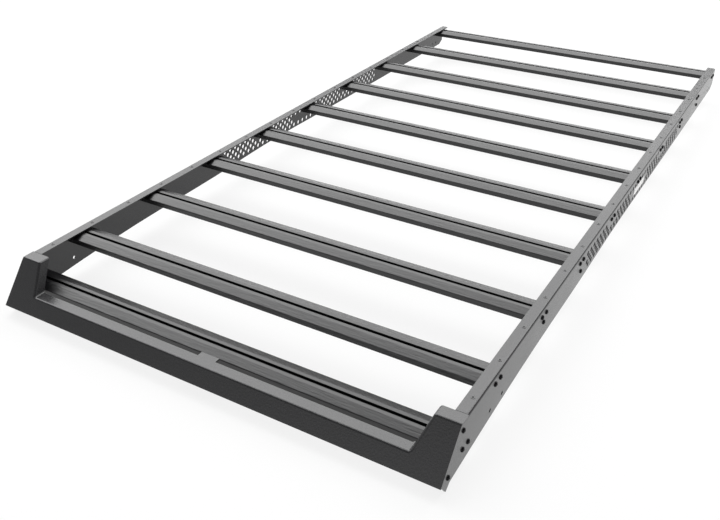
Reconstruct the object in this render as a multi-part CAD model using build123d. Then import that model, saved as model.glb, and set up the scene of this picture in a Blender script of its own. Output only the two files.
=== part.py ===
"""Flat platform roof rack: two bent side rails, ten slotted crossbars and a bent front fairing.

Millimetres. X runs across the rack, Y along it with the fairing at -Y, Z up.
The origin is at the middle of the rack's plan, level with the lowest points of the rails.
"""
import os
from math import cos, radians, tan

from build123d import *

# Overall layout
rack_width = 1170.0            # over the outer faces of the two side rails
deck_bars = 9                  # crossbars that carry the load
bar_pitch = 264.0              # from one deck bar to the next
front_reach = 252.0            # from the first deck bar forward to the fairing's lower edge

# Side rails, bent from sheet: a web with a flange turned in along its top
rail_sheet = 4.0
rail_inner_bend = 1.0          # inner radius of the bend
flange_width = 28.0
nose_depth = 122.0             # lowest point of the web, below the flange's top
nose_setback = 23.0            # of that point, behind the fairing's lower edge
heel_depth = 110.0             # where the nose meets the waved lower edge
heel_setback = 40.0
heel_slope = 0.09              # how steeply the lower edge leaves that point, upward for each length back
shoulder_depth = 82.0          # web depth at the second deck bar
foot_depth = 79.0              # at the third, where a foot bolts on
waist_depth = 69.5             # at the fourth and the fifth, under the perforated middle
tail_depth = 74.0              # at the rear
tail_chamfer_length = 26.0
tail_chamfer_height = 14.0

# Crossbars: an extruded section with a slot along its crown
bar_width = 71.0
bar_height = 25.0
bar_land = 26.0                # flat strip on the crown
bar_land_round = 6.0           # radius where the land meets a shoulder
bar_side = 13.0                # upright height of each side
bar_side_round = 2.5           # radius at the top of a side
bar_wall = 2.4
slot_mouth = 9.0
slot_lip = 3.0                 # metal over each side of the channel
channel_width = 20.0
channel_depth = 9.0
bar_drop = 6.5                 # deck bar's crown below the flange's top
front_bar_gap = 14.0           # between the fairing's lip and the front bar
front_bar_drop = 60.0

# Front fairing, bent from sheet
fairing_sheet = 3.0
fairing_lean = 39.4            # of the face, back from upright, in degrees
fairing_drop = 96.0            # lower edge below the flange's top
fairing_bend = 7.0             # outer radius of its bends
fairing_corner = 5.0           # radius where the lip turns up into a raised end
fairing_return = 30.0          # depth of the raised ends' edges that are turned back
lip_return = 27.0              # depth of the lip between them
horn_width = 57.0              # of each raised end, at its top
horn_flare = 23.0              # how much wider the raised end is at the lip
lip_drop = 63.5                # low middle stretch below the flange's top
tab_width = 48.0               # tongue from the lip to the front bar
tab_clearance = 0.3
horn_gap = 1.0                 # between the fairing's raised end and the rail's flange
touch = 0.01                   # distance within which a corner counts as lying at a place

# Perforated middle of each web, in four staggered rows
hole_width = 14.0
hole_sides = 8
hole_pitch = 26.0              # along a row
row_pitch = 12.4
row_count = 4
first_row_drop = 21.5
perforated_half_length = 482.0  # from the middle deck bar to the last holes, each way
badge_half_length = 85.0       # plain place in the middle rows
bolt_half_length = 38.0        # plain place beside each bar's bolts, in the upper rows

# Holes for the mounting feet
foot_hole = 9.0
front_foot_spacing = 62.0      # pair at the first deck bar
front_foot_drop = 74.3
rear_foot_spacing = 30.0       # pair ahead of the last deck bar
rear_foot_ahead = 44.0
rear_foot_drop = 57.0

# Places worked out from the sizes above
half_width = rack_width / 2
rack_length = front_reach + bar_pitch * (deck_bars - 1) + bar_width / 2
front_y = -rack_length / 2
rear_y = rack_length / 2
first_bar_y = front_y + front_reach
deck_z = nose_depth
fairing_base_z = deck_z - fairing_drop
lip_z = deck_z - lip_drop
web_inside = half_width - rail_sheet
rail_bend = rail_inner_bend + rail_sheet
bar_length = 2 * web_inside
lean_run = tan(radians(fairing_lean))
face_depth = fairing_sheet / cos(radians(fairing_lean))
lip_y = front_y + (lip_z - fairing_base_z) * lean_run
front_bar_y = lip_y + lip_return + front_bar_gap + bar_width / 2
front_bar_z = deck_z - front_bar_drop


def deck_bar_y(index):
    """Middle of a deck bar, counted from the front."""
    return first_bar_y + index * bar_pitch


def face_y(z):
    """Front of the leaning fairing face at a height."""
    return front_y + (z - fairing_base_z) * lean_run


def box_between(low, high):
    """A box given by two opposite corners."""
    size = [b - a for a, b in zip(low, high)]
    middle = [(a + b) / 2 for a, b in zip(low, high)]
    return Pos(*middle) * Box(*size)


def across(outline, low, high):
    """Extrudes an outline drawn on Y and Z from one X to another."""
    return extrude(Pos(low, 0, 0) * (Plane.YZ * outline), amount=high - low, dir=(1, 0, 0))


def along(outline, low, high):
    """Extrudes an outline drawn on X and Z from one Y to another."""
    return extrude(Pos(0, low, 0) * (Plane.XZ * outline), amount=high - low, dir=(0, 1, 0))


def polygon(*points):
    """A flat face inside straight edges."""
    return make_face(Polyline(*points, close=True))


def crossbar_section():
    """Section of a crossbar about its own crown: slotted crown, sloped shoulders, hollow inside."""
    half = bar_width / 2
    land = bar_land / 2
    shoulder = (bar_height - bar_side) / 2
    sharp = polygon(
        (-land, 0), (land, 0), (half, -shoulder), (half, -shoulder - bar_side),
        (land, -bar_height), (-land, -bar_height), (-half, -shoulder - bar_side), (-half, -shoulder),
    )
    outer = sharp
    for depth, radius in ((shoulder, bar_side_round), (0, bar_land_round)):
        corners = [v for v in outer.vertices() if abs(v.Y + depth) < touch]
        outer = fillet(corners, radius)
    mouth = Pos(0, -slot_lip / 2) * Rectangle(slot_mouth, slot_lip)
    channel = Pos(0, -slot_lip - channel_depth / 2) * Rectangle(channel_width, channel_depth)
    inner = offset(sharp, -bar_wall)
    spine = Pos(0, -bar_height / 2) * Rectangle(channel_width + 2 * bar_wall, bar_height)
    floor_depth = slot_lip + channel_depth + bar_wall
    keel_height = bar_height - bar_wall - floor_depth
    keel = Pos(0, -floor_depth - keel_height / 2) * Rectangle(channel_width, keel_height)
    return outer - (inner - spine) - mouth - channel - keel


def crossbar(y, crown_z):
    """One crossbar between the webs, with the middle of its crown at a place."""
    bar = across(crossbar_section(), -bar_length / 2, bar_length / 2)
    return Pos(0, y, crown_z) * bar


def rail_section():
    """Bent sheet of the right rail, drawn on X and Z: web, bend and flange."""
    out, top, inside = half_width, deck_z, web_inside
    diagonal = cos(radians(45))
    bend_x, bend_z = out - rail_bend, top - rail_bend
    edges = [
        Line((out, 0), (out, bend_z)),
        ThreePointArc(
            (out, bend_z),
            (bend_x + rail_bend * diagonal, bend_z + rail_bend * diagonal),
            (bend_x, top),
        ),
        Line((bend_x, top), (out - flange_width, top)),
        Line((out - flange_width, top), (out - flange_width, top - rail_sheet)),
        Line((out - flange_width, top - rail_sheet), (bend_x, top - rail_sheet)),
        ThreePointArc(
            (bend_x, top - rail_sheet),
            (bend_x + rail_inner_bend * diagonal, bend_z + rail_inner_bend * diagonal),
            (inside, bend_z),
        ),
        Line((inside, bend_z), (inside, 0)),
        Line((inside, 0), (out, 0)),
    ]
    return make_face(edges)


def rail_outline():
    """Side view of a rail on Y and Z: leaning front, nose, waved lower edge, chamfered tail."""
    heel = (front_y + heel_setback, deck_z - heel_depth)
    depths = (shoulder_depth, foot_depth, waist_depth, waist_depth)
    wave = [(deck_bar_y(bar), deck_z - depth) for bar, depth in enumerate(depths, 1)]
    tail = (rear_y - tail_chamfer_length, deck_z - tail_depth)
    front_top = face_y(deck_z) + face_depth
    front_low = front_y + face_depth
    edges = [
        Line((rear_y, deck_z), (front_top, deck_z)),
        Line((front_top, deck_z), (front_low, fairing_base_z)),
        Line((front_low, fairing_base_z), (front_y + nose_setback, deck_z - nose_depth)),
        Line((front_y + nose_setback, deck_z - nose_depth), heel),
        Spline(heel, *wave, tail, tangents=[(1, heel_slope), (1, 0)]),
        Line(tail, (rear_y, tail[1] + tail_chamfer_height)),
        Line((rear_y, tail[1] + tail_chamfer_height), (rear_y, deck_z)),
    ]
    return make_face(edges)


def perforation_places():
    """Middles of the holes in a web, as Y and drop below the flange's top."""
    middle = deck_bar_y((deck_bars - 1) // 2)
    for row in range(row_count):
        drop = first_row_drop + row * row_pitch
        staggered = row % 2 == 0
        shift = hole_pitch / 2 if staggered else 0
        last = int((perforated_half_length - shift) // hole_pitch)
        first = -last - 1 if staggered else -last
        for column in range(first, last + 1):
            y = middle + shift + column * hole_pitch
            beside_bar = min(abs(y - deck_bar_y(bar)) for bar in range(deck_bars)) < bolt_half_length
            by_badge = abs(y - middle) < badge_half_length
            upper_rows = row < row_count / 2
            middle_rows = 0 < row < row_count - 1
            if (beside_bar and upper_rows) or (by_badge and middle_rows):
                continue
            yield y, drop


def foot_hole_places():
    """Middles of the mounting holes in a web, as Y and drop below the flange's top."""
    for side in (-1, 1):
        yield first_bar_y + side * front_foot_spacing / 2, front_foot_drop
    rear_pair_y = deck_bar_y(deck_bars - 1) - rear_foot_ahead
    for side in (-1, 1):
        yield rear_pair_y + side * rear_foot_spacing / 2, rear_foot_drop


def web_cutters():
    """Everything that is cut through a web, as prisms that pass right through it."""
    perforation = RegularPolygon(hole_width / 2, hole_sides, rotation=180 / hole_sides)
    outlines = [Pos(y, deck_z - drop) * perforation for y, drop in perforation_places()]
    outlines += [Pos(y, deck_z - drop) * Circle(foot_hole / 2) for y, drop in foot_hole_places()]
    return [across(outline, web_inside - rail_sheet, half_width + rail_sheet) for outline in outlines]


def right_rail():
    """The right side rail; its flange starts behind the fairing's raised end."""
    rail = along(rail_section(), front_y, rear_y) & across(
        rail_outline(), half_width - flange_width, half_width
    )
    horn_rear = face_y(deck_z) + fairing_return + horn_gap
    seat = box_between(
        (half_width - flange_width, front_y, deck_z - fairing_sheet),
        (half_width, horn_rear, deck_z),
    )
    flange_front = box_between(
        (half_width - flange_width, front_y, deck_z - rail_bend),
        (web_inside, horn_rear, deck_z),
    )
    return rail - seat - flange_front - web_cutters()


def leaning_slab(depth):
    """The space from the fairing's front face back by a depth, over the whole rack."""
    low, high = 0.0, deck_z + rail_sheet
    outline = polygon(
        (face_y(low), low), (face_y(low) + depth, low),
        (face_y(high) + depth, high), (face_y(high), high),
    )
    return across(outline, -half_width, half_width)


def fairing_front(end_x):
    """Front view of the fairing on X and Z out to an end: a low middle between raised ends."""
    horn_top = half_width - horn_width
    horn_low = horn_top - horn_flare
    outline = polygon(
        (-end_x, fairing_base_z), (end_x, fairing_base_z), (end_x, deck_z), (horn_top, deck_z),
        (horn_low, lip_z), (-horn_low, lip_z), (-horn_top, deck_z), (-end_x, deck_z),
    )
    inner_reach = half_width - horn_width / 2
    for z, radius in ((deck_z, fairing_bend), (lip_z, fairing_corner)):
        corners = [v for v in outline.vertices() if abs(v.X) < inner_reach and abs(v.Y - z) < touch]
        outline = fillet(corners, radius)
    return outline


def front_folds(sheet):
    """The fairing's edges where its face turns back into the lip and the raised ends."""
    for edge in sheet.edges():
        ends = edge.vertices()
        if all(abs(v.Y - face_y(v.Z)) < touch and v.Z > lip_z - touch for v in ends):
            yield edge


def front_fairing():
    """The leaning face with its upper edges and ends turned back, and a tongue to the front bar."""
    rear_limit = face_y(deck_z) + fairing_return
    face = along(fairing_front(half_width), front_y, rear_limit) & leaning_slab(face_depth)
    inside = fairing_front(web_inside)
    open_foot = Pos(0, fairing_base_z) * Rectangle(2 * (web_inside - fairing_sheet), 2 * fairing_sheet)
    band = inside - offset(inside, -fairing_sheet, kind=Kind.INTERSECTION) - open_foot
    for side in (-1, 1):
        cap_end = Rectangle(2 * rail_sheet, fairing_sheet)
        band += Pos(side * web_inside, deck_z - fairing_sheet / 2) * cap_end
    returns = along(band, front_y, rear_limit) & leaning_slab(fairing_return)
    lip_end = half_width - horn_width - horn_flare - fairing_corner
    lip_trim = box_between((-lip_end, lip_y + lip_return, fairing_base_z), (lip_end, rear_limit, deck_z))
    sheet = face + returns - lip_trim
    sheet = fillet(list(front_folds(sheet)), fairing_bend)
    shoulder = (bar_height - bar_side) / 2
    slope = (bar_width - bar_land) / 2 / shoulder
    tab_drop = min(front_bar_z - (lip_z - fairing_sheet), shoulder)
    tab_end = front_bar_y - bar_land / 2 - tab_drop * slope - tab_clearance
    tab = box_between(
        (-tab_width / 2, lip_y + fairing_sheet, lip_z - fairing_sheet),
        (tab_width / 2, tab_end, lip_z),
    )
    return sheet + tab


os.makedirs("parts", exist_ok=True)

rail = right_rail()
export_step(rail, "parts/right_side_rail.step")
export_step(mirror(rail, about=Plane.YZ), "parts/left_side_rail.step")
export_step(front_fairing(), "parts/front_fairing.step")
export_step(crossbar(front_bar_y, front_bar_z), "parts/front_crossbar.step")
for number in range(1, deck_bars + 1):
    bar = crossbar(deck_bar_y(number - 1), deck_z - bar_drop)
    export_step(bar, f"parts/deck_crossbar_{number}.step")
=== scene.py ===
# %% [markdown]
# # Flat platform roof rack
# Two bent side rails carry nine slotted crossbars. A tenth bar sits low at the front, behind a bent
# fairing. The solids come ready made from the CAD frame, and this lesson never moves them. It gives
# each of them its real finish, models the small hardware that a drawing leaves out, and then sets up a
# plain studio.

from math import cos, hypot, pi, radians, sin, tan

import bmesh
import bpy
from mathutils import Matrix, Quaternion, Vector


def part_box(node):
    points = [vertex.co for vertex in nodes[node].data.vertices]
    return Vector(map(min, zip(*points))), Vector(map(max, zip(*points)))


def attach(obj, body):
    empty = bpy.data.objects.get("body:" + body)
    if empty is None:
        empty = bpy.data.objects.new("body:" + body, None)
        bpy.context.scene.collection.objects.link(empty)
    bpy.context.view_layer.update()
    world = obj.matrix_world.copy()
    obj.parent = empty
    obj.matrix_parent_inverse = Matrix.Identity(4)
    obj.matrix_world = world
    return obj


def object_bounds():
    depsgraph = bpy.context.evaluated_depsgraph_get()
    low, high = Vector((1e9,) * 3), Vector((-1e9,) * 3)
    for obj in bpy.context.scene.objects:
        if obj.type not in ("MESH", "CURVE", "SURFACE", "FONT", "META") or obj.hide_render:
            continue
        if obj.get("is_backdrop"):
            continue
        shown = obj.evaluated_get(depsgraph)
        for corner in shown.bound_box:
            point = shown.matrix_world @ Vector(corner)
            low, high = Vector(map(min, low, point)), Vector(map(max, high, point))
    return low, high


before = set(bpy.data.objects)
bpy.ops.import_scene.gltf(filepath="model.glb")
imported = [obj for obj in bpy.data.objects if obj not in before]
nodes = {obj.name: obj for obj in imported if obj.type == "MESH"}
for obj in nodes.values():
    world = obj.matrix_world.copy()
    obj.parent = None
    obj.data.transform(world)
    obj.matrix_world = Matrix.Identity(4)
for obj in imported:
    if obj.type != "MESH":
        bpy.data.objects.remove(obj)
cad_low, cad_high = (list(corner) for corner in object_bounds())
print("CAD nodes:", len(nodes), "box:", [round(v, 3) for v in cad_low + cad_high])

# %% [markdown]
# ## Tools for finishes
# Colours are easiest to read as the hex codes that a paint shop gives, but a renderer adds light in
# linear numbers, so one function turns the first into the second. A second function adds a shader node,
# sets it and wires it up in one line, which keeps each finish short enough to read as a recipe.

# %% Colour and node helpers
MM = 0.001


def linear(code):
    """An sRGB hex colour as linear red, green, blue and alpha."""
    channels = [int(code[i:i + 2], 16) / 255 for i in (1, 3, 5)]
    return [c / 12.92 if c <= 0.04045 else ((c + 0.055) / 1.055) ** 2.4 for c in channels] + [1.0]


def add_node(tree, kind, inputs=None, **settings):
    """Adds a node. Each input is a plain value or the output that feeds it."""
    node = tree.nodes.new(kind)
    for name, value in settings.items():
        setattr(node, name, value)
    for socket, value in (inputs or {}).items():
        if isinstance(value, bpy.types.NodeSocket):
            tree.links.new(value, node.inputs[socket])
        else:
            node.inputs[socket].default_value = value
    return node


def new_finish(name):
    """An empty material and its node tree."""
    material = bpy.data.materials.new(name)
    material.use_nodes = True
    material.node_tree.nodes.clear()
    return material, material.node_tree


print("satin black as linear light:", [round(v, 4) for v in linear("#1b1b1c")])

# %% [markdown]
# ## Powder coat on the bent sheet and on the bars
# The rails and the fairing are aluminium sheet with a baked powder coat, and the bars are extrusions
# with the same coat: a satin black plastic skin with a fine sandy texture, because the powder grains
# never melt quite flat. To the eye that gives a nearly black face from the front and a broad grey sheen
# at a glancing angle. One could paint that sheen into the colour, but then it would stay put when the
# view turns. So the colour stays black, and the sheen comes from an ordinary plastic reflection that a
# low roughness spreads a little. On a bar the pattern is drawn out along its length, as the lines of
# the extrusion die are.

# %% Powder coat
GRAIN = 4 * MM          # the real grain is near 0.3 mm, drawn coarser so that it shows at this size
GRAIN_DETAIL = 2.0
GRAIN_ROUGHNESS = 0.6
CLOUD = 70 * MM         # slow drift in gloss from the spray gun's passes
CLOUD_DETAIL = 3.0
BUMP_STRENGTH = 0.9
COAT_IOR = 1.55         # baked polyester powder


def powder_coat(name, dark, light, gloss, depth, stretch):
    """Satin black powder coat with a grain of some depth, drawn out where stretch is under 1."""
    material, tree = new_finish(name)
    place = add_node(tree, "ShaderNodeTexCoord").outputs["Object"]
    drawn = add_node(tree, "ShaderNodeMapping", {"Vector": place, "Scale": stretch}).outputs["Vector"]
    grain = add_node(
        tree, "ShaderNodeTexNoise",
        {"Vector": drawn, "Scale": 1 / GRAIN, "Detail": GRAIN_DETAIL, "Roughness": GRAIN_ROUGHNESS},
    ).outputs["Fac"]
    cloud = add_node(
        tree, "ShaderNodeTexNoise", {"Vector": drawn, "Scale": 1 / CLOUD, "Detail": CLOUD_DETAIL}
    ).outputs["Fac"]
    colour = add_node(
        tree, "ShaderNodeMix",
        {"Factor": grain, "A": linear(dark), "B": linear(light)}, data_type="RGBA",
    )
    sheen = add_node(
        tree, "ShaderNodeMapRange", {"Value": cloud, "To Min": gloss[0], "To Max": gloss[1]}
    )
    bumps = add_node(
        tree, "ShaderNodeBump", {"Height": grain, "Strength": BUMP_STRENGTH, "Distance": depth}
    )
    skin = add_node(
        tree, "ShaderNodeBsdfPrincipled",
        {"Roughness": sheen.outputs["Result"], "Normal": bumps.outputs["Normal"], "IOR": COAT_IOR},
    )
    tree.links.new(colour.outputs["Result"], skin.inputs["Base Color"])
    add_node(tree, "ShaderNodeOutputMaterial", {"Surface": skin.outputs["BSDF"]})
    return material


sheet_coat = powder_coat(
    "powder_coat_on_sheet", dark="#1b1b1c", light="#272729",
    gloss=(0.15, 0.25), depth=0.3 * MM, stretch=(1, 1, 1),
)
bar_coat = powder_coat(
    "powder_coat_on_extrusion", dark="#0c0c0d", light="#151517",
    gloss=(0.24, 0.38), depth=0.7 * MM, stretch=(0.1, 1, 1),
)
for name, node in nodes.items():
    node.data.materials.clear()
    node.data.materials.append(bar_coat if "crossbar" in name else sheet_coat)
print("coated:", len(nodes), "nodes")

# %% [markdown]
# ## Finishes of the hardware
# The bolts are steel with a black oxide skin, which mirrors less light than the coat around it, so each
# one reads as a small black dot. A rivet nut is coated together with its flange, and its shallow bore
# has a painted shade: a near-black floor that stands in for the dark depth of a real thread. The plate
# on the right rail is bare white enamel on thin
# aluminium.

# %% Hardware finishes
WEAR_DETAIL = 3.0


def plain_finish(name, code, wear_code, wear_size, roughness, metallic):
    """A finish whose colour drifts a little between two shades, over patches of a real size."""
    material, tree = new_finish(name)
    place = add_node(tree, "ShaderNodeTexCoord").outputs["Object"]
    patches = add_node(
        tree, "ShaderNodeTexNoise", {"Vector": place, "Scale": 1 / wear_size, "Detail": WEAR_DETAIL}
    )
    colour = add_node(
        tree, "ShaderNodeMix",
        {"Factor": patches.outputs["Fac"], "A": linear(code), "B": linear(wear_code)}, data_type="RGBA",
    )
    skin = add_node(tree, "ShaderNodeBsdfPrincipled", {"Roughness": roughness, "Metallic": metallic})
    tree.links.new(colour.outputs["Result"], skin.inputs["Base Color"])
    add_node(tree, "ShaderNodeOutputMaterial", {"Surface": skin.outputs["BSDF"]})
    return material


black_oxide = plain_finish(
    "black_oxide_steel", "#161617", "#202021", wear_size=3 * MM, roughness=0.35, metallic=1.0
)
# Painted shade: a near-black finish for the floor of a rivet nut's shallow bore, standing in for the
# dark depth of its thread.
bore_painted_shade = plain_finish(
    "painted_shade_thread_bore", "#050505", "#080808", wear_size=2 * MM, roughness=0.8, metallic=0.0
)
enamel = plain_finish(
    "white_enamel_plate", "#fafafa", "#f4f4f3", wear_size=20 * MM, roughness=0.3, metallic=0.0
)
print("hardware finishes:", [m.name for m in (black_oxide, bore_painted_shade, enamel)])

# %% [markdown]
# ## Tools for modelling
# Each small piece starts as an empty mesh in edit mode, so that circles and planes can be added to it
# and shaped together. Vertices are picked by where they are, never by their number. A finished piece is
# copied to its places, and the copies are joined into one mesh whose vertices hold those places.

# %% Modelling helpers
TINY = 1e-6
SMOOTH_UP_TO = radians(35)      # faces that meet at less than this are shaded as one round


def start_mesh(name):
    """An empty mesh at the origin, ready to edit."""
    bpy.ops.object.select_all(action="DESELECT")
    bpy.ops.object.add(type="MESH")
    bpy.context.object.name = name
    bpy.ops.object.mode_set(mode="EDIT")


def pick(rule):
    """Selects the vertices whose place fits a rule, and the edges and faces between them."""
    data = bpy.context.object.data
    mesh = bmesh.from_edit_mesh(data)
    for vertex in mesh.verts:
        vertex.select_set(rule(vertex.co))
    mesh.select_flush(True)
    mesh.select_flush(False)
    bmesh.update_edit_mesh(data)


def push(offset, scale=(1, 1, 1)):
    """Extrudes what is selected along an offset, then scales it about its own middle."""
    bpy.ops.mesh.extrude_region_move(TRANSFORM_OT_translate={"value": offset})
    bpy.ops.transform.resize(value=scale)


def close_mesh(*finishes):
    """Turns every face outward, leaves edit mode, smooths the round stretches and adds finishes."""
    bpy.ops.mesh.select_all(action="SELECT")
    bpy.ops.mesh.normals_make_consistent(inside=False)
    bpy.ops.object.mode_set(mode="OBJECT")
    bpy.ops.object.shade_smooth_by_angle(angle=SMOOTH_UP_TO)
    piece = bpy.context.object
    for finish in finishes:
        piece.data.materials.append(finish)
    return piece


def copies(model, name, places, turned=False):
    """Copies of a model at several places, joined. Turned ones first make half a turn about Z."""
    made = []
    for place in places:
        bpy.ops.object.select_all(action="DESELECT")
        model.select_set(True)
        bpy.context.view_layer.objects.active = model
        bpy.ops.object.duplicate()
        if turned:
            bpy.ops.transform.rotate(value=pi, orient_axis="Z", center_override=(0, 0, 0))
        bpy.ops.transform.translate(value=place)
        made.append(bpy.context.object)
    for piece in made:
        piece.select_set(True)
    bpy.ops.object.join()
    bpy.ops.object.transform_apply(location=True, rotation=True, scale=True)
    joined = bpy.context.object
    joined.name = name
    return joined


def drop(model):
    """Deletes a model once its copies stand in their places."""
    bpy.data.objects.remove(model)


print("ready to model")

# %% [markdown]
# ## A button head bolt
# Each bar is held by two bolts through the web at either end. Their heads are low domes with a hex
# socket. A cut dome with a six-sided hole could be made by subtracting one solid from another, but it
# is cleaner to start from the two outlines that meet on the crown: a hexagon, with its sides divided,
# and a circle with as many points. A band bridges them. The hexagon is then pushed in to make the
# socket, and the circle is pushed down and spread in steps to make the dome.

# %% One bolt head
HEAD_WIDTH = 12 * MM
HEAD_HEIGHT = 3.3 * MM
CROWN_WIDTH = 6.4 * MM
SOCKET_WIDTH = 4 * MM       # across the flats
SOCKET_DEPTH = 2 * MM
DOME = ((0.76, 0.82), (0.93, 0.48), (1.0, 0.0))     # shares of the head's width and height
ROUND = 24                  # points of a circle
HEX = 6
FACING_RIGHT = (0, pi / 2, 0)

start_mesh("bolt_head")
crown = (HEAD_HEIGHT, 0, 0)
socket_reach = SOCKET_WIDTH / 2 / cos(pi / HEX)
bpy.ops.mesh.primitive_circle_add(
    vertices=HEX, radius=socket_reach, location=crown, rotation=FACING_RIGHT
)
bpy.ops.mesh.subdivide(number_cuts=ROUND // HEX - 1)
bpy.ops.mesh.primitive_circle_add(
    vertices=ROUND, radius=CROWN_WIDTH / 2, location=crown, rotation=FACING_RIGHT
)
bpy.ops.mesh.select_all(action="SELECT")
bpy.ops.mesh.bridge_edge_loops()
pick(lambda p: hypot(p.y, p.z) < socket_reach + TINY)
push((-SOCKET_DEPTH, 0, 0))
bpy.ops.mesh.edge_face_add()
pick(lambda p: hypot(p.y, p.z) > CROWN_WIDTH / 2 - TINY)
width, height = CROWN_WIDTH, HEAD_HEIGHT
for width_share, height_share in DOME:
    spread = width_share * HEAD_WIDTH / width
    push((height_share * HEAD_HEIGHT - height, 0, 0), (1, spread, spread))
    width, height = width_share * HEAD_WIDTH, height_share * HEAD_HEIGHT
bpy.ops.mesh.edge_face_add()
bolt_head = close_mesh(black_oxide)
bolt_size = [round(v / MM, 1) for v in bolt_head.dimensions]
print("bolt head:", len(bolt_head.data.polygons), "faces, size", bolt_size)

# %% [markdown]
# ## The bolts along the rails
# The places come from the frame: a pair beside the middle of each bar, a little below its crown, and
# two more through the web into each end of the fairing, one near its foot and one near its top. Under
# the second, third, seventh and eighth deck bar one more head holds a foot bracket. The heads sit on
# the outer faces of the webs. The left ones are turned to face the other way.

# %% Bolts on both rails
DECK_BARS = sorted(name for name in nodes if name.startswith("deck_crossbar"))
DECK_BOLT_DROP = 13.5 * MM      # below the bar's crown
DECK_BOLT_SPACING = 26 * MM
FRONT_BOLT_DROP = 11.5 * MM
FRONT_BOLT_SPACING = 25 * MM
# Each place is behind and above the fairing's foot.
FAIRING_BOLTS = ((30.5 * MM, 4 * MM), (88.5 * MM, 74 * MM))
# Each is a deck bar, counted from 0, and a drop below its crown.
FOOT_BOLTS = ((1, 33 * MM), (2, 41.5 * MM), (6, 33 * MM), (7, 41.5 * MM))


def bolt_places(web):
    """Places of the heads on a web's outer face, given the X of that face."""
    for name in DECK_BARS + ["front_crossbar"]:
        low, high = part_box(name)
        deck = name in DECK_BARS
        spacing = DECK_BOLT_SPACING if deck else FRONT_BOLT_SPACING
        below = DECK_BOLT_DROP if deck else FRONT_BOLT_DROP
        for side in (-1, 1):
            yield web, (low.y + high.y + side * spacing) / 2, high.z - below
    for index, below in FOOT_BOLTS:
        low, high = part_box(DECK_BARS[index])
        yield web, (low.y + high.y) / 2, high.z - below
    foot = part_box("front_fairing")[0]
    for behind, above in FAIRING_BOLTS:
        yield web, foot.y + behind, foot.z + above


right_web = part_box("right_side_rail")[1].x
left_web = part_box("left_side_rail")[0].x
right_bolts = copies(bolt_head, "right_rail_bolts", bolt_places(right_web))
left_bolts = copies(bolt_head, "left_rail_bolts", bolt_places(left_web), turned=True)
drop(bolt_head)
for piece in (right_bolts, left_bolts):
    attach(piece, "root")
    print(piece.name, len(piece.data.polygons), "faces")

# %% [markdown]
# ## Rivet nuts on the flanges
# Small dark dots run along the top of each flange, half a bar pitch apart. Racks have rivet nuts there
# for accessories: a thin collar with a threaded bore. The collar is a band between two circles, pushed
# down outside to meet the flange and inside to make the bore. The bore's floor gets a painted shade,
# a near-black finish that stands in for the depth of a real bore, since the flange below is solid.

# %% One rivet nut
COLLAR_WIDTH = 9 * MM
BORE_WIDTH = 4 * MM
COLLAR_HEIGHT = 0.6 * MM
BORE_FLOOR = 0.1 * MM       # just clear of the flange

start_mesh("rivet_nut")
for width in (BORE_WIDTH, COLLAR_WIDTH):
    bpy.ops.mesh.primitive_circle_add(vertices=ROUND, radius=width / 2, location=(0, 0, COLLAR_HEIGHT))
bpy.ops.mesh.select_all(action="SELECT")
bpy.ops.mesh.bridge_edge_loops()
pick(lambda p: hypot(p.x, p.y) > COLLAR_WIDTH / 2 - TINY)
push((0, 0, -COLLAR_HEIGHT))
bpy.ops.mesh.edge_face_add()
pick(lambda p: hypot(p.x, p.y) < BORE_WIDTH / 2 + TINY)
push((0, 0, BORE_FLOOR - COLLAR_HEIGHT))
bpy.ops.mesh.edge_face_add()
rivet_nut = bpy.context.object
# The second finish is the painted shade on the bore's floor, which stands in for the dark inside of a
# real bore.
for finish in (sheet_coat, bore_painted_shade):
    rivet_nut.data.materials.append(finish)
rivet_nut.active_material_index = 1     # the bore's floor, still selected, takes the second finish
bpy.ops.object.material_slot_assign()
close_mesh()
print("rivet nut:", len(rivet_nut.data.polygons), "faces")

# %% Rivet nuts on both flanges
NUT_BEHIND_BAR = 38 * MM        # the first of each pair behind a bar
bar_middles = [(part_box(name)[0].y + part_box(name)[1].y) / 2 for name in DECK_BARS]
half_pitch = (bar_middles[1] - bar_middles[0]) / 2


def nut_places(flange):
    """Places of the rivet nuts on a flange, given the lowest and highest corner of its rail."""
    middle = (flange[0].x + flange[1].x) / 2
    first = bar_middles[0] + NUT_BEHIND_BAR - half_pitch
    for step in range(2 * len(bar_middles) - 1):
        yield middle, first + step * half_pitch, flange[1].z


for side in ("right", "left"):
    nuts = copies(rivet_nut, f"{side}_rail_rivet_nuts", nut_places(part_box(f"{side}_side_rail")))
    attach(nuts, "root")
    print(nuts.name, len(nuts.data.polygons), "faces")
drop(rivet_nut)

# %% [markdown]
# ## The bare plate
# A white plate sits in the plain place among the holes of the right web. It is cut from thin sheet with
# rounded corners and a softened edge: a flat rectangle whose corners are bevelled, pushed out by its
# thickness, with the rim bevelled again.

# %% Bare plate on the right web
PLATE_LENGTH = 104 * MM
PLATE_HEIGHT = 21 * MM
PLATE_THICKNESS = 1.2 * MM
PLATE_CORNER = 3 * MM
CORNER_STEPS = 4
PLATE_RIM = 0.4 * MM
RIM_STEPS = 2
PLATE_DROP = 40 * MM            # of its middle, below the flange's top
PLATE_BEHIND_BAR = 5 * MM

rail_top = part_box("right_side_rail")[1]
middle_bar = bar_middles[len(bar_middles) // 2]
plate_place = (rail_top.x, middle_bar + PLATE_BEHIND_BAR, rail_top.z - PLATE_DROP)
start_mesh("bare_plate")
bpy.ops.mesh.primitive_plane_add(size=1, rotation=FACING_RIGHT, location=plate_place)
bpy.ops.transform.resize(value=(1, PLATE_LENGTH, PLATE_HEIGHT))
bpy.ops.mesh.bevel(affect="VERTICES", offset=PLATE_CORNER, segments=CORNER_STEPS)
push((PLATE_THICKNESS, 0, 0))
bpy.ops.mesh.region_to_loop()
bpy.ops.mesh.bevel(affect="EDGES", offset=PLATE_RIM, segments=RIM_STEPS)
bare_plate = close_mesh(enamel)
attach(bare_plate, "root")
plate_size = [round(v / MM, 1) for v in bare_plate.dimensions]
print("plate:", len(bare_plate.data.polygons), "faces, size", plate_size)

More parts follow.
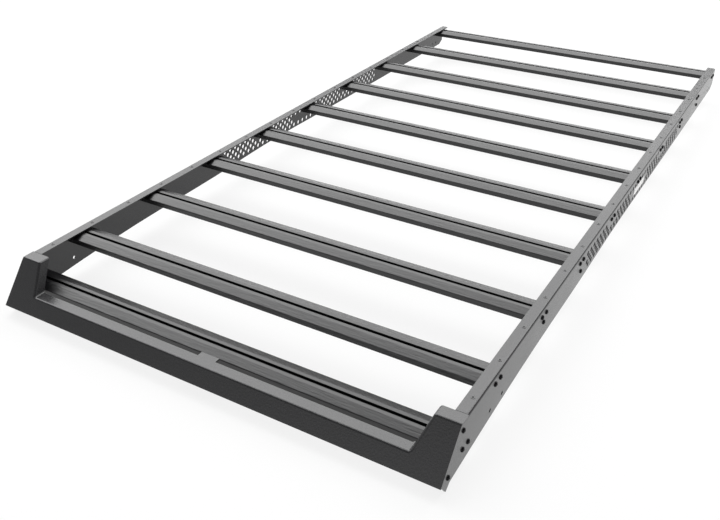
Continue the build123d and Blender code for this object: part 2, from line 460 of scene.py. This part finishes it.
# %% [markdown]
# ## Studio floor
# The rack stands on a wide sheet of pale paper. Paper that is lit only by the lamps would turn grey
# towards its edges, so most of what the camera sees of it is an even white glow, which reflections see
# too. The rest is matt paper, and that share keeps the soft shadow.

# %% Floor
FLOOR_SIZE = 30.0
GLOW_SHARE = 0.82       # the rest is matt paper
bpy.ops.object.select_all(action="DESELECT")
bpy.ops.mesh.primitive_plane_add(size=FLOOR_SIZE, location=(0, 0, cad_low[2]))
floor = bpy.context.object
floor.name = "studio_floor"
paper, tree = new_finish("pale_paper_floor")
path = add_node(tree, "ShaderNodeLightPath")
seen = path.outputs["Is Camera Ray"]
for kind in ("Is Glossy Ray", "Is Transmission Ray"):
    either = add_node(tree, "ShaderNodeMath", {0: seen, 1: path.outputs[kind]}, operation="MAXIMUM")
    seen = either.outputs[0]
share = add_node(tree, "ShaderNodeMath", {0: seen, 1: GLOW_SHARE}, operation="MULTIPLY").outputs[0]
matt = add_node(tree, "ShaderNodeBsdfDiffuse", {"Color": linear("#f0f0f0")})
glow = add_node(tree, "ShaderNodeEmission", {"Color": linear("#ffffff"), "Strength": 1.0})
mixed = add_node(tree, "ShaderNodeMixShader", {0: share, 1: matt.outputs[0], 2: glow.outputs[0]})
add_node(tree, "ShaderNodeOutputMaterial", {"Surface": mixed.outputs[0]})
floor.data.materials.append(paper)
floor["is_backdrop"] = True
print("floor:", FLOOR_SIZE, "m wide")

# %% [markdown]
# ## Light
# Black gloss shows only what it mirrors. The tops of the bars and flanges mirror what is behind the
# rack and above it, so a bank of large soft lamps stands there, a little to the left, and draws the
# broad grey sheen that shows the shapes. The higher lamps are brighter than the lower ones, as in a
# light tent that is lit from its roof, and a strip at the floor reaches the rear shoulders of the bars.
# All round stands a pale studio wall, which fades upward into a darker ceiling. It is brighter straight
# ahead of the rack, and that soft patch lifts the right end of the fairing's face. A plain matt colour
# comes out about as it was written.

# %% Wall, ceiling and soft lamps
WALL = 0.9              # pale studio wall at the horizon
CEILING = 0.25
CEILING_FROM = 0.6      # sine of the angle above the floor where the wall has faded into the ceiling
FILL = 0.9              # added to the wall straight ahead of the fairing
FILL_EDGE = 0.66        # cosine of the angle from straight ahead where the fill has faded out
AHEAD = (0, -1, 0)
world = bpy.data.worlds.new("studio_wall_and_ceiling")
bpy.context.scene.world = world
world.use_nodes = True
tree = world.node_tree
tree.nodes.clear()
direction = add_node(tree, "ShaderNodeTexCoord").outputs["Generated"]
height = add_node(tree, "ShaderNodeSeparateXYZ", {"Vector": direction}).outputs["Z"]
level = add_node(
    tree, "ShaderNodeMapRange",
    {"Value": height, "From Max": CEILING_FROM, "To Min": WALL, "To Max": CEILING},
).outputs["Result"]
ahead = add_node(
    tree, "ShaderNodeVectorMath", {0: direction, 1: AHEAD}, operation="DOT_PRODUCT"
).outputs["Value"]
fill = add_node(
    tree, "ShaderNodeMapRange", {"Value": ahead, "From Min": FILL_EDGE, "To Max": FILL}
).outputs["Result"]
strength = add_node(tree, "ShaderNodeMath", {0: level, 1: fill}, operation="ADD").outputs[0]
studio = add_node(tree, "ShaderNodeBackground", {"Color": linear("#ffffff"), "Strength": strength})
add_node(tree, "ShaderNodeOutputWorld", {"Surface": studio.outputs["Background"]})

BANK_DISTANCE = 7.0
BANK_WIDTH = 14.0
BANK_TURN = radians(28)         # to the left of straight behind
BANK = (                        # lowest and highest angle above the floor in degrees, and radiance
    ("floor_strip", 2, 12, 2.2),
    ("low_softbox", 20, 32, 2.1),
    ("middle_softbox", 32, 44, 2.8),
    ("high_softbox", 44, 60, 4.3),
    ("overhead_softbox", 60, 85, 2.6),
)


def softbox(name, lowest, highest, radiance):
    """A soft lamp that spans two angles above the floor. Its radiance says how bright its face looks."""
    rise = radians(lowest + highest) / 2
    data = bpy.data.lights.new(name, "AREA")
    data.shape = "RECTANGLE"
    data.size = BANK_WIDTH
    data.size_y = 2 * BANK_DISTANCE * tan(radians(highest - lowest) / 2)
    data.energy = radiance * pi * data.size * data.size_y
    lamp = bpy.data.objects.new(name, data)
    bpy.context.scene.collection.objects.link(lamp)
    away = Vector((-sin(BANK_TURN) * cos(rise), cos(BANK_TURN) * cos(rise), sin(rise)))
    lamp.location = BANK_DISTANCE * away
    lamp.rotation_euler = (-away).to_track_quat("-Z", "Y").to_euler()
    lamp.visible_camera = False


for settings in BANK:
    softbox(*settings)

# %% [markdown]
# ## Camera
# The view is from above the front right corner, at the angle of the photograph. The eye's place is
# given from the first deck bar, and the focal length in pixels of a picture 720 wide.

# %% Camera
EYE_RIGHT = 1.013128            # metres from the rack's middle line
EYE_AHEAD = 1.253344            # of the first deck bar
EYE_HEIGHT = 1.170355           # above the floor
LOOK = Vector((-0.437644, 0.734158, -0.519116))
ROLL = radians(-0.171)
PHOTO_WIDTH = 720
FOCAL_PIXELS = 836.487
SENSOR = 36.0                   # mm wide
camera_data = bpy.data.cameras.new("camera")
camera_data.sensor_width = SENSOR
camera_data.lens = SENSOR * FOCAL_PIXELS / PHOTO_WIDTH
camera = bpy.data.objects.new("camera", camera_data)
bpy.context.scene.collection.objects.link(camera)
camera.location = (EYE_RIGHT, bar_middles[0] - EYE_AHEAD, cad_low[2] + EYE_HEIGHT)
turn = LOOK.to_track_quat("-Z", "Y") @ Quaternion((0, 0, 1), ROLL)
camera.rotation_euler = turn.to_euler()
bpy.context.scene.camera = camera
bpy.context.scene.view_settings.view_transform = "Standard"
print("camera at", [round(v, 3) for v in camera.location], "lens", round(camera_data.lens, 1), "mm")
